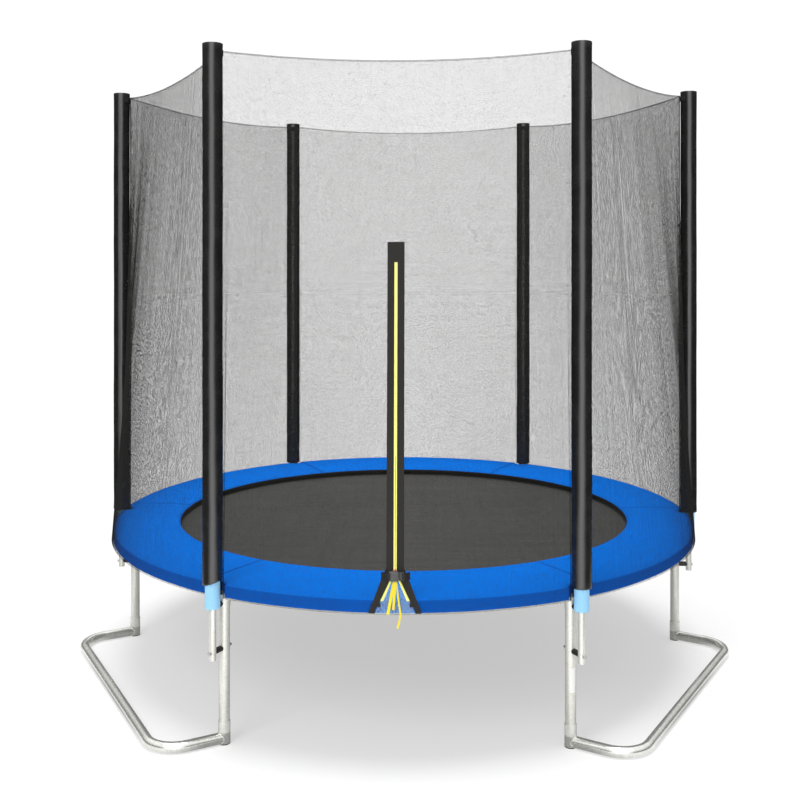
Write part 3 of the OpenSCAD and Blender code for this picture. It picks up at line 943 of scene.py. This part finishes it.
def make_skirt(finish):
    """The pad's skirt: a strip that hangs round its outer edge, with a folded hem."""
    shape = Shape()
    rings, cut = [], []
    top, low = PAD_TOP + 1 * MM, SKIRT_LOW
    # (millimetres in from the outer face, share of the way down)
    profile = [(2.2, 0.0), (0.3, 0.0), (0.0, 0.012), (0.5, 0.3), (0.7, 0.6), (0.1, 0.66), (0.0, 0.97),
               (0.5, 1.0), (2.6, 1.0), (3.0, 0.97), (3.0, 0.66), (2.4, 0.6), (2.2, 0.3)]
    for degrees in pad_azimuths():
        a = math.radians(degrees)
        outer = pad_outer(degrees)
        wave = 0.5 * MM * (1 + math.sin(31 * a) * math.sin(7 * a + 1))
        rings.append([outward(degrees) * (outer - inset * MM - wave * share)
                      + UP * (top + (low - top) * share) for inset, share in profile])
        cut += [(a * PAD_OUT_R, share * (top - low), 0) for _, share in profile]
    shape.loft(rings, cut=cut, wrap=True)
    # the skirt's finish is the pad's vinyl in a darker blue, painted shade on its upright face
    made = shape.piece("pad_skirt", "frame", "blue_pad_vinyl", [finish], sharp=60)


def make_pad_stitching(thread):
    """Stitching along the pad's inner edge, its skirt and both sides of each segment seam."""
    shape = Shape()
    sunk = -0.1 * MM
    azimuths = pad_azimuths()
    for share in (0.035, 0.972):
        stitches(shape, [pad_point(degrees, share, sunk) for degrees in azimuths + azimuths[:1]], UP)
    for i in range(POLES):
        for side in (-1, 1):
            degrees = POLE_STEP * i + SEAM_OFFSETS[i] + side * math.degrees(7 * MM / PAD_MEAN_R)
            stitches(shape, [pad_point(degrees, 0.04 + 0.92 * k / 24, sunk) for k in range(25)], UP)
    shape.piece("pad_stitching", "frame", "blue_pad_vinyl", [thread])


# ---------------------------------------------------------------- net

def net_columns(front):
    """(lower point, share of the upper edge) for each column from one pole to the next."""
    wraps, mids = 9, 52
    side = []
    for k in range(wraps):
        a = WRAP_A * k / (wraps - 1)
        low = Vector((POLE_R - WRAP_R * math.cos(a), WRAP_R * math.sin(a), 0))
        side.append((low, (SEAM_GAP + (WRAP_TOP - SEAM_GAP) * k / (wraps - 1)) / CORNER_R))
    slit = 0.00565              # half of the door's slit, as a share of the lower edge
    shares = [k / (mids + 1) for k in range(1, mids + 1)]
    if front:
        shares = sorted([t for t in shares if abs(t - 0.5) > 2 * slit] + [0.5 - slit, 0.5 + slit])
    edge = WRAP_TOP / CORNER_R
    middle_part = []
    for t in shares:
        a = LOW_WRAP_A + (math.radians(POLE_STEP) - 2 * LOW_WRAP_A) * t
        middle_part.append((NET_LOW_R * outward(math.degrees(a)), edge + (1 - 2 * edge) * t))
    across, flip = outward(POLE_STEP), outward(POLE_STEP - 90)
    other = [(across * low.x + flip * low.y, 1 - share) for low, share in reversed(side)]
    return side + middle_part + other


def net_rows(front):
    """Shares of the way down the net, with the zip's two ends among them in front."""
    shares = [k / 60 for k in range(61)]
    if front:
        ends = [1 - z * MM / DOOR_LENGTH for z in (SLIT_LOW, ZIP_TOP)]
        shares = sorted([v for v in shares if min(abs(v - e) for e in ends) > 0.006] + ends)
    return shares


def net_top_point(share):
    """A point of the net's upper edge, which sags between two poles."""
    straight = outward(0).lerp(outward(POLE_STEP), share) * CORNER_R
    return straight + UP * (NET_TOP - 4 * NET_SAG * share * (1 - share))


def net_point(low, share, v, folds):
    """A point of the hung net: v runs from the upper edge, 0, to the lower one, 1."""
    here = net_top_point(share).lerp(low + UP * NET_LOW, v)
    held = math.sin(math.pi * share) ** 0.8 * math.sin(math.pi * min(v * 1.08, 1.0)) ** 0.7
    sway = sum(size * math.sin(many * share * 2 * math.pi + lean * v + phase)
               for size, many, lean, phase in folds)
    out = Vector((here.x, here.y, 0)).normalized()
    return here + out * held * (sway - 6 * MM)


def add_thread_sides(shape, points, width, rows, slit_column, slit_rows, i):
    """Narrow fins along the upright threads, so that the net looks denser at a slant."""
    rng = random.Random(80 + i)
    picked = [*range(0, len(rows) - 1, 2), len(rows) - 1]
    for n in range(int(width[-1] / NET_PITCH)):
        u = (n + rng.uniform(0.1, 0.9)) * NET_PITCH
        c = max(k for k in range(len(width) - 1) if width[k] <= u)
        t = (u - width[c]) / (width[c + 1] - width[c])
        made, cut, faces = [], [], []
        for r in picked:
            a, b = points[c][r], points[c + 1][r]
            through = (b - a).normalized().cross(UP) * THREAD_DEEP / 2
            here = a.lerp(b, t)
            made += [here - through, here + through]
            cut += [(u, (1 - rows[r]) * DOOR_LENGTH, SOLID)] * 2
        for k in range(len(picked) - 1):
            if c == slit_column and rows[picked[k + 1]] in slit_rows:
                continue
            faces.append((2 * k, 2 * k + 1, 2 * k + 3, 2 * k + 2))
        shape.add(made, faces, turn(pole_azimuth(i)), cut)


def make_net_panel(i, finish):
    front = i == FRONT
    rng = random.Random(60 + i)
    folds = [(size * MM, many, rng.uniform(-2.5, 2.5), rng.uniform(0, 6.3))
             for size, many in ((4.0, 1.6), (1.4, 4.3), (0.5, 9.7), (0.2, 17.0))]
    if front:
        folds = [(size * 0.12, many, lean, phase) for size, many, lean, phase in folds]
    columns, rows = net_columns(front), net_rows(front)
    points = [[net_point(low, share, v, folds) for v in rows] for low, share in columns]
    count = len(rows)
    waist = [column[count // 2] for column in points]
    width = [length_of(waist[:k + 1]) for k in range(len(waist))]
    low_end, top_end = (z * MM / DOOR_LENGTH for z in (SLIT_LOW, ZIP_TOP))
    slit_rows = {v for v in rows if low_end < 1 - v - 1e-6 < top_end}
    middle_column = next(k for k, (_, share) in enumerate(columns) if share > 0.5) - 1
    faces = []
    for c in range(len(columns) - 1):
        for r in range(count - 1):
            if front and c == middle_column and rows[r + 1] in slit_rows:
                continue
            a = c * count + r
            faces.append((a, a + 1, a + count + 1, a + count))
    shape = Shape()
    cut = [(x, (1 - v) * DOOR_LENGTH, 1) for x in width for v in rows]
    shape.add([p for column in points for p in column], faces, turn(pole_azimuth(i)), cut)
    add_thread_sides(shape, points, width, rows, middle_column if front else None, slit_rows, i)
    made = shape.piece(f"net_{i}", "frame", "net_mesh", [finish], [f"net_panel_{i}"], sharp=180)


def make_net_edges(edge_finish, tape_finish):
    """Binding folded over the net's upper edge, and the tape that joins two panels at a pole."""
    binding, tape = Shape(), Shape()
    deep, gap = 6 * MM, SEAM_GAP / CORNER_R
    tops = [net_top_point(gap + (1 - 2 * gap) * k / 40) for k in range(41)]
    rows = [(top - UP * deep, top + UP * 0.6 * MM, outward(POLE_STEP / 2)) for top in tops]
    length = POLES * length_of([left for left, _, _ in rows])
    for i in range(1, POLES + 1):
        cloth_strip(binding, rows, 1.6 * MM, across=3, place=turn(pole_azimuth(i)), edge=0.8)
    made = binding.piece("net_top_binding", "frame", "net_mesh", [edge_finish])
    2 * deep
    deep * length

    x, half = CORNER_R - 1.2 * MM, 7 * MM
    heights = [NET_LOW + (NET_TOP - 2 * MM - NET_LOW) * k / 30 for k in range(31)]
    rows = [((x, -half, z), (x, half, z), (-1, 0, 0)) for z in heights]
    for i in range(1, POLES + 1):
        cloth_strip(tape, rows, 0.8 * MM, across=4, place=turn(pole_azimuth(i)))
    seams = tape.piece("net_seam_tapes", "frame", "black_webbing", [tape_finish])


# ---------------------------------------------------------------- door

def lerp_rows(rows, step):
    """Rows of (left, right) pairs in millimetres, with more between them, as Vectors in metres."""
    made = []
    for (l0, r0), (l1, r1) in zip(rows, rows[1:]):
        l0, r0, l1, r1 = (Vector(p) * MM for p in (l0, r0, l1, r1))
        many = max(1, round(((l0 + r0) / 2 - (l1 + r1) / 2).length / (step * MM)))
        made += [(l0.lerp(l1, k / many), r0.lerp(r1, k / many)) for k in range(many)]
    last = rows[-1]
    return made + [(Vector(last[0]) * MM, Vector(last[1]) * MM)]


def door_rows(rows, depth, step=14, ripple=0.0):
    """Rows drawn as (x, z) in the door's plane, at a depth outwards, with a slight ripple."""
    lifted = [((l[0], -depth, l[1]), (r[0], -depth, r[1])) for l, r in rows]
    made = []
    for k, (left, right) in enumerate(lerp_rows(lifted, step)):
        sway = Vector((0, -ripple * MM * (0.5 + 0.5 * math.sin(0.9 * k)), 0))
        made.append((left + sway, right + sway * 0.4, OUT))
    return made


def flip_rows(rows):
    return [((-r[0], r[1]), (-l[0], l[1])) for l, r in rows]


def sew_on_door(shape, line, depth):
    """Stitches along a line of (x, z) points in the door's plane, at a depth outwards."""
    path = [DOOR @ (Vector((x, -depth, z)) * MM) for x, z in line]
    stitches(shape, path, DOOR.to_3x3() @ OUT, height=0.35 * MM)


def make_door_tapes(finish, thread):
    """Black tapes down both sides of the zip, spread apart at the foot, and the patch above it."""
    shape, sewing = Shape(), Shape()
    inner, outer = 5.5, 29.0
    patch_low, patch_high = ZIP_TOP - 1, ZIP_TOP + 68
    upper = [((inner, ZIP_TOP), (outer, ZIP_TOP)), ((inner, 150), (outer, 150)),
             ((inner, 134), (35.5, 136)), ((11, 121), (45, 114)), ((49.5, 42), (72, 43)),
             ((47, 23), (79, 26))]
    foot = [((62, 24), (79, 27)), ((67, 4), (88, 4))]
    for rows in (upper, flip_rows(upper)):
        cloth_strip(shape, door_rows(rows, 1.9, ripple=0.5), 1.4 * MM, across=6, place=DOOR)
    for rows in (foot, flip_rows(foot)):
        cloth_strip(shape, door_rows(rows, 2.3, step=6), 1.9 * MM, across=5, place=DOOR)
    patch = [((-outer, z), (outer, z)) for z in (patch_low, patch_high)]
    cloth_strip(shape, door_rows(patch, 2.0), 1.8 * MM, across=10, place=DOOR)
    made = shape.piece("door_tape", "frame", "door_tape", [finish], ["door_tapes"])

    for side in (-1, 1):
        lines = [[(side * (outer - 2.5), 152), (side * (outer - 2.5), ZIP_TOP - 2)],
                 [(side * (inner + 2.5), 152), (side * (inner + 2.5), ZIP_TOP - 2)],
                 [(side * 42, 114), (side * 68.5, 44), (side * 83, 6)],
                 [(side * 17, 118), (side * 54, 42)]]
        for line in lines:
            sew_on_door(sewing, line, 3.1)
    x, low, high = outer - 3, patch_low + 4, patch_high - 3
    sew_on_door(sewing, [(-x, low), (x, low), (x, high), (-x, high), (-x, low), (x, high)], 2.9)
    sewing.piece("door_stitching", "frame", "door_tape", [thread])


def make_zip(finish, tape_finish):
    """Two rows of teeth that mesh above the slider and spread apart below it."""
    teeth = Shape()
    pitch = 2.6
    tooth = (4.25, 1.9, 2.35)    # across the zip, outwards and along it
    half = [size / 2 * MM for size in tooth]
    corner = [(-1, -0.55), (-0.6, -1), (0.6, -1), (1, -0.55)]
    outline = corner + [(-a, -b) for a, b in corner]
    rings = [[Vector((half[0] * a * k, y * half[1], half[2] * b * k)) for a, b in outline]
             for y, k in ((1, 1), (-0.4, 1), (-1, 0.62))]
    closed = [(0.75 + tooth[0] / 2, ZIP_SPLIT + pitch * k, 0.0)
              for k in range(int((ZIP_TOP - 1 - ZIP_SPLIT) / pitch))]
    run = Vector((45 - 3, 42 - ZIP_SPLIT))
    lean = math.atan2(run.x, -run.y)
    many = int(run.length / pitch)
    spread_out = [(3 + run.x * k / many, ZIP_SPLIT + run.y * k / many, lean) for k in range(1, many)]
    for side in (-1, 1):
        for x, z, angle in closed + spread_out:
            here = Matrix.Translation(Vector((side * x, -2.15, z + 0.25 * pitch * side)) * MM)
            teeth.loft(rings, DOOR @ here @ Matrix.Rotation(side * -angle, 4, "Y"))
    teeth.piece("zip_teeth", "frame", "yellow_zip", [finish], ["zip_coils"])
    tapes = Shape()
    for side in (-1, 1):
        rows = [((0.72, ZIP_TOP - 1), (6.5, ZIP_TOP - 1)), ((0.72, ZIP_SPLIT + 2), (6.5, ZIP_SPLIT + 4)),
                ((38.5, 43), (50, 44))]
        rows = rows if side > 0 else flip_rows(rows)
        cloth_strip(tapes, door_rows(rows, 0.75, step=20), 0.5 * MM, across=2, place=DOOR)
    made = tapes.piece("zip_tape", "frame", "yellow_zip", [tape_finish])


def make_slider(finish, crown_finish):
    shape = Shape()
    soft_block(shape, (-7, -4.9, 112), (7, -3.5, 141), 3.5, 0.5, dome=0.5)
    soft_block(shape, (-6, -0.7, 111), (6, 0.5, 136), 3, 0.4)
    soft_block(shape, (-0.7, -4, 112), (0.7, -0.3, 118), 0.3, 0.2)
    arch = [(-4.4, 114), (-6.9, 115.5), (-7.4, 120), (-6.9, 124.5), (-4.4, 126)]
    bail = smooth_path([(0, y, z) for y, z in arch])
    shape.loft(sweep([p * MM for p in bail], 0.9 * MM, 8), DOOR)
    shape.piece("zip_slider_body", "slider", "slider_metal", [finish], ["zip_slider"])
    crown = Shape()
    soft_block(crown, (-2.6, -6.9, 140.2), (2.6, -3.6, 145.2), 1.6, 0.7)
    crown.piece("slider_crown", "slider", None, [crown_finish])


def alongs(path):
    """The direction of a path at each of its points."""
    return [b - a for a, b in zip(path[:1] + path, path[1:] + path[-1:])]


def make_ribbons(finish):
    """Three limp pull ribbons that fan out from the slider, the right one with a kink."""
    lines = [
        ("pull_ribbon_left", 10.0, [(-3, 112), (-8, 84), (-15, 44), (-23.5, 1)], 0.0),
        ("pull_ribbon_middle", 8.0, [(0.5, 112), (-1, 82), (-3, 48), (-5.5, 16)], 0.9),
        ("pull_ribbon_right", 6.0, [(4, 112), (8, 74), (14, 30), (18, 0), (14.5, -18), (8.5, -43)], -0.7)
    ]
    first = None
    for name, width, points, phase in lines:
        shape = Shape()
        path = smooth_path([(x, 0, z) for x, z in points], 7)
        rows = []
        for k, (here, along) in enumerate(zip(path, alongs(path))):
            narrow = 0.62 + 0.38 * min(1.0, k / 9)
            side = Vector((-along.z, 0, along.x)).normalized() * width / 2 * narrow
            depth = OUT * (5.8 + 0.5 * math.sin(0.35 * k + phase) + abs(phase))
            twist = OUT * 0.25 * math.sin(0.23 * k + phase)
            rows.append(((here - side + depth - twist) * MM, (here + side + depth + twist) * MM, OUT))
        cloth_strip(shape, rows, 0.6 * MM, across=4, place=DOOR)
        stands_for = ["pull_ribbons"] if first is None else []
        made = shape.piece(name, "slider", "yellow_ribbon", [finish], stands_for)
        length = length_of(path) * MM
        first = first or made


def make_gusset(finish):
    """Finer net let in between the spread tapes at the door's foot."""
    shape = Shape()
    rows = door_rows([((-4, 108), (4, 108)), ((-52, 40), (52, 40)), ((-66, 3), (66, 3))], 0.95, step=6)
    cloth_strip(shape, rows, 0.2 * MM, across=20, place=DOOR)
    made = shape.piece("door_gusset", "frame", "net_mesh", [finish])


BUCKLE_LOW, BUCKLE_HIGH = 108, 140
BUCKLE_FRONT, BUCKLE_BACK = -18.0, -8.5


def make_buckle_socket(finish):
    """Female half of a side-release buckle, open at its right end and at its side windows."""
    shape = Shape()
    for y0, y1, dome in ((BUCKLE_FRONT, BUCKLE_FRONT + 1.8, 1.2), (BUCKLE_BACK - 1.8, BUCKLE_BACK, 0)):
        soft_block(shape, (-15.6, y0, BUCKLE_LOW), (12, y1, BUCKLE_HIGH), 3, 0.7, dome=dome)
    y0, y1 = BUCKLE_FRONT + 1, BUCKLE_BACK - 1
    soft_block(shape, (-15.6, y0, BUCKLE_LOW + 1), (-13, y1, BUCKLE_HIGH - 1), 0.8, 0.6)
    for x0, x1 in ((-14, -7), (3, 12)):
        for z in (BUCKLE_LOW, BUCKLE_HIGH - 3):
            soft_block(shape, (x0, y0, z), (x1, y1, z + 3), 1, 0.6)
    soft_block(shape, (-20.2, y0 + 1, BUCKLE_LOW + 1), (-18, y1 - 1, BUCKLE_HIGH - 1), 0.9, 0.9)
    for z in (BUCKLE_LOW, BUCKLE_HIGH - 4):
        soft_block(shape, (-20, y0 + 1, z), (-14, y1 - 1, z + 4), 0.9, 0.9)
    shape.piece("buckle_female", "frame", "buckle_plastic", [finish], ["buckle_socket"])


def make_buckle_plug(finish):
    """Male half: a grip block, two springy side prongs and a middle guide."""
    shape = Shape()
    y0, y1 = BUCKLE_FRONT + 2.6, BUCKLE_BACK - 2.6
    soft_block(shape, (12.6, y0 - 1, 110), (25, y1 + 1, 138), 2.5, 0.8, dome=0.6)
    soft_block(shape, (27.4, y0 - 1, 110), (30.5, y1 + 1, 138), 1.2, 0.9)
    for z in (110, 134.5):
        soft_block(shape, (24, y0 - 1, z), (30, y1 + 1, z + 3.5), 1.2, 0.9)
    for side in (-1, 1):
        line = [(14, 8.5), (6, 9.5), (1, 11), (-3.5, 9.5)]
        path = smooth_path([(x, 0, 124 + side * away) for x, away in line])
        rows = [((p + Vector((0, y0, 0))) * MM, (p + Vector((0, y1, 0))) * MM, (0, 0, 1)) for p in path]
        cloth_strip(shape, rows, 2.6 * MM, across=2, place=DOOR, edge=0.7)
    soft_block(shape, (-9, y0 + 0.8, 122.3), (13, y1 - 0.8, 125.7), 1.4, 0.6)
    shape.piece("buckle_male", "plug", "buckle_plastic", [finish], ["buckle_plug"])


def make_webbing(name, body, points, finish, stands_for):
    """Webbing 24 mm wide along a line of (x, y) points in the door's frame."""
    shape = Shape()
    low, high = UP * 112, UP * 136
    path = smooth_path([(x, y, 0) for x, y in points], 5)
    rows = []
    for here, along in zip(path, alongs(path)):
        rows.append(((here + low) * MM, (here + high) * MM, Vector((along.y, -along.x, 0))))
    cloth_strip(shape, rows, 1.4 * MM, across=6, place=DOOR)
    made = shape.piece(name, body, "black_webbing", [finish], [stands_for])
    length = length_of(path) * MM


# ---------------------------------------------------------------- build

make_camera()
make_world()
make_floor()
make_light("overhead", "SUN", 1.9, angle=math.radians(28))     # soft, from straight above
area_light("key", (-2.6, -5.2, 4.6), (0, 0, 0.9), 2.6, 2.6, 110)
area_light("fill", (0, -6.2, 1.1), (0, 0, 0.7), 4.0, 1.5, 60)

galvanised = steel("galvanised", (0.58, 0.58, 0.53), (0.86, 0.86, 0.81), 0.45, 0.33, 0.42)
floor_tube = steel("floor_tube", (0.62, 0.62, 0.58), (0.9, 0.9, 0.86), 0.75, 0.15, 0.25,
                   dents=0.0003, dull_above=2 * LEG_R)
zinc = steel("zinc_plate", (0.46, 0.47, 0.47), (0.68, 0.69, 0.68), 0.85, 0.26, 0.4)
black_plastic = moulded("black_plastic", (0.013, 0.013, 0.013), 0.5)
buckle_grey = moulded("buckle_grey", (0.052, 0.052, 0.054), 0.4)
plug_black = moulded("plug_black", (0.016, 0.016, 0.016), 0.42)
slider_dark = moulded("slider_dark", (0.09, 0.09, 0.09), 0.35)
crown_red = moulded("crown_red", (0.75, 0.02, 0.03), 0.4)
vinyl = sleeve_vinyl()
foam = blue_foam()
pad_blue = tarpaulin("pad_blue", (0.0, 0.23, 0.99), (0.0, 0.21, 0.93), 0.0)
# painted shade: the skirt is the same vinyl as the pad top, given a darker blue for the shade on its
# upright face
skirt_blue_painted_shade = tarpaulin("skirt_blue_painted_shade", (0.0, 0.14, 0.70), (0.0, 0.125, 0.63), 0.0)
pad_under = tarpaulin("pad_under", (0.016, 0.016, 0.018), (0.010, 0.010, 0.011), 0.15)
pad_thread = woven("pad_thread", (0.0, 0.07, 0.36), (0.0, 0.11, 0.55), 0.0012)
mat_cloth = mat_weave()
webbing = woven("webbing", (0.008, 0.008, 0.008), (0.022, 0.022, 0.021), 0.0022)
tape_black = woven("tape_black", (0.012, 0.011, 0.010), (0.030, 0.028, 0.025), 0.0018)
black_thread = woven("black_thread", (0.02, 0.02, 0.019), (0.045, 0.044, 0.041), 0.0012)
zip_yellow = glossy_yellow("zip_yellow", (0.93, 0.90, 0.2), (1.0, 0.99, 0.30), 0.0026)
ribbon_yellow = woven("ribbon_yellow", (0.80, 0.62, 0.02), (1.0, 0.86, 0.06), 0.0013, 0.55)
net_grey = net_mesh("net_grey", (0.022, 0.0215, 0.019), 0.132 * NET_PITCH, NET_PITCH)
net_hem = net_mesh("net_hem", (0.03, 0.03, 0.028), 0.4 * MM, 2.4 * MM)
gusset_net = net_mesh("gusset_net", (0.55, 0.80, 1.0), 0.22 * MM, 2.4 * MM)

for i in range(1, POLES + 1):
    make_sleeve(i, vinyl)
make_foam(foam)
make_net_straps(webbing)
make_mat(mat_cloth, webbing, black_thread)
make_v_rings(zinc, webbing)
make_springs(zinc)
make_pad(pad_blue, pad_under)
make_skirt(skirt_blue_painted_shade)
make_pad_stitching(pad_thread)
for i in range(1, POLES + 1):
    make_net_panel(i, net_grey)
make_net_edges(net_hem, webbing)
make_door_tapes(tape_black, black_thread)
make_zip(zip_yellow, zip_yellow)
make_slider(slider_dark, crown_red)
make_ribbons(ribbon_yellow)
make_gusset(gusset_net)
make_buckle_socket(buckle_grey)
make_buckle_plug(plug_black)
make_webbing("buckle_webbing_left", "frame",
             [(-46, -3.5), (-38, -3.7), (-34.5, -8), (-31.5, -12), (-20.4, -12.4)],
             webbing, "socket_webbing")
make_webbing("buckle_webbing_right", "plug",
             [(30.8, -12.4), (37, -12), (39.6, -8.2), (42, -4), (50, -3.7)],
             webbing, "plug_webbing")
make_weld_beads(galvanised)
make_leg_label(paper())

finish_cad_nodes({
    "top_rail": galvanised, "t_socket": galvanised, "leg_upright": galvanised, "leg_base": floor_tube,
    "pole_lower": galvanised, "upper_poles": galvanised, "pole_bolts": zinc, "pole_nuts": zinc,
    "socket_screws": zinc, "foot_caps": black_plastic, "pole_spacers": black_plastic
})
scene.view_settings.view_transform = "Standard"
